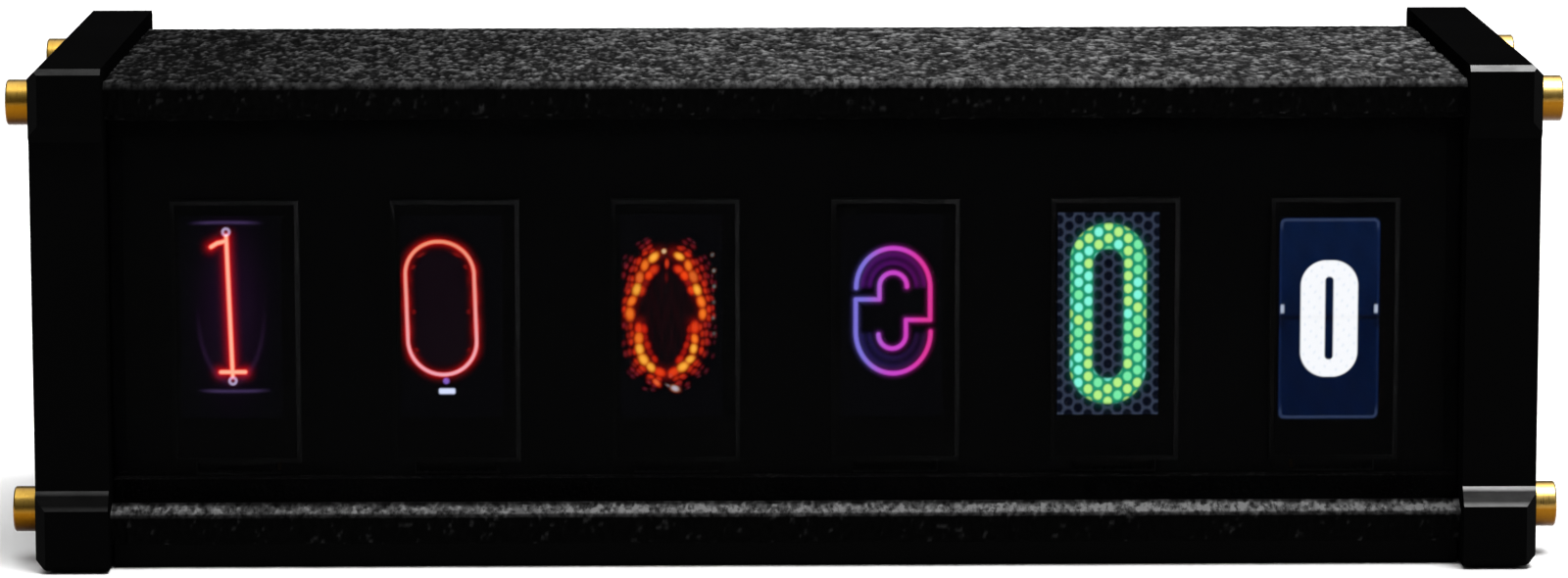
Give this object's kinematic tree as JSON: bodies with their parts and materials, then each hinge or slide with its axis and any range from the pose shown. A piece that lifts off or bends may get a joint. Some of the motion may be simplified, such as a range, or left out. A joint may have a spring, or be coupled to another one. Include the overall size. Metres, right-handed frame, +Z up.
{
  "type": "nixie-style display clock",
  "caption": "Long low desk clock: black extruded case with end caps and brass screws, smoked front window, a row of upright colour display modules, rear push buttons and power socket.",
  "frame": {"origin": "middle of the footprint, on the surface that the clock stands on", "axes": "+X along the case to the right as seen from the front, +Y to the rear, +Z up"},
  "size_m": [0.1634, 0.06, 0.0532],
  "materials": {
    "case_coat": "coarse sand-textured black powder coat",
    "cap_coat": "smooth satin black",
    "brass": "polished",
    "foot_rubber": "matt",
    "smoked_window": "glossy smoked acrylic",
    "panel_coat": "satin black",
    "circuit_board": "black solder mask",
    "chip_plastic": "moulded black",
    "module_board": "blue-black solder mask",
    "bright_steel": "plated",
    "lcd_frame": "moulded dark grey",
    "lcd_glass": "glossy black display face",
    "ribbon_film": "black cover film",
    "pale_plastic": "moulded",
    "key_plastic": "moulded black, satin"
  },
  "bodies": {
    "case": {"top_shell": "case_coat", "bottom_shell": "case_coat", "left_cap": "cap_coat", "right_cap": "cap_coat", "left_screws": "brass", "right_screws": "brass", "front_foot": "foot_rubber", "rear_foot": "foot_rubber", "front_window": "smoked_window", "rear_panel": "panel_coat", "display_board": "circuit_board", "display_chips": "chip_plastic", "board_socket": "chip_plastic", "board_header": "chip_plastic", "main_board": "circuit_board", "main_chips": "chip_plastic", "standoffs": "brass", "board_screws": "bright_steel", "wifi_board": "module_board", "wifi_shield": "bright_steel", "coin_holder": "chip_plastic", "coin_cell": "bright_steel", "buzzer": "chip_plastic", "usb_shell": "bright_steel", "usb_tongue": "chip_plastic", "lcd_frame_1": "lcd_frame", "lcd_frame_2": "lcd_frame", "lcd_frame_3": "lcd_frame", "lcd_frame_4": "lcd_frame", "lcd_frame_5": "lcd_frame", "lcd_frame_6": "lcd_frame", "lcd_glass_1": "lcd_glass", "lcd_glass_2": "lcd_glass", "lcd_glass_3": "lcd_glass", "lcd_glass_4": "lcd_glass", "lcd_glass_5": "lcd_glass", "lcd_glass_6": "lcd_glass", "lcd_ribbon_1": "ribbon_film", "lcd_ribbon_2": "ribbon_film", "lcd_ribbon_3": "ribbon_film", "lcd_ribbon_4": "ribbon_film", "lcd_ribbon_5": "ribbon_film", "lcd_ribbon_6": "ribbon_film", "switch_body_1": "bright_steel", "switch_body_2": "bright_steel", "switch_body_3": "bright_steel"},
    "button_1": {"button_cap_1": "key_plastic", "switch_plunger_1": "pale_plastic"},
    "button_2": {"button_cap_2": "key_plastic", "switch_plunger_2": "pale_plastic"},
    "button_3": {"button_cap_3": "key_plastic", "switch_plunger_3": "pale_plastic"}
  },
  "joints": [
    {"name": "button_1_press", "type": "slide", "parent": "case", "child": "button_1", "axis": [0, -1, 0], "range_m": [0, 0.0003], "stiffness_N_per_m": 4000, "springref_m": -0.0001},
    {"name": "button_2_press", "type": "slide", "parent": "case", "child": "button_2", "axis": [0, -1, 0], "range_m": [0, 0.0003], "stiffness_N_per_m": 4000, "springref_m": -0.0001},
    {"name": "button_3_press", "type": "slide", "parent": "case", "child": "button_3", "axis": [0, -1, 0], "range_m": [0, 0.0003], "stiffness_N_per_m": 4000, "springref_m": -0.0001}
  ]
}
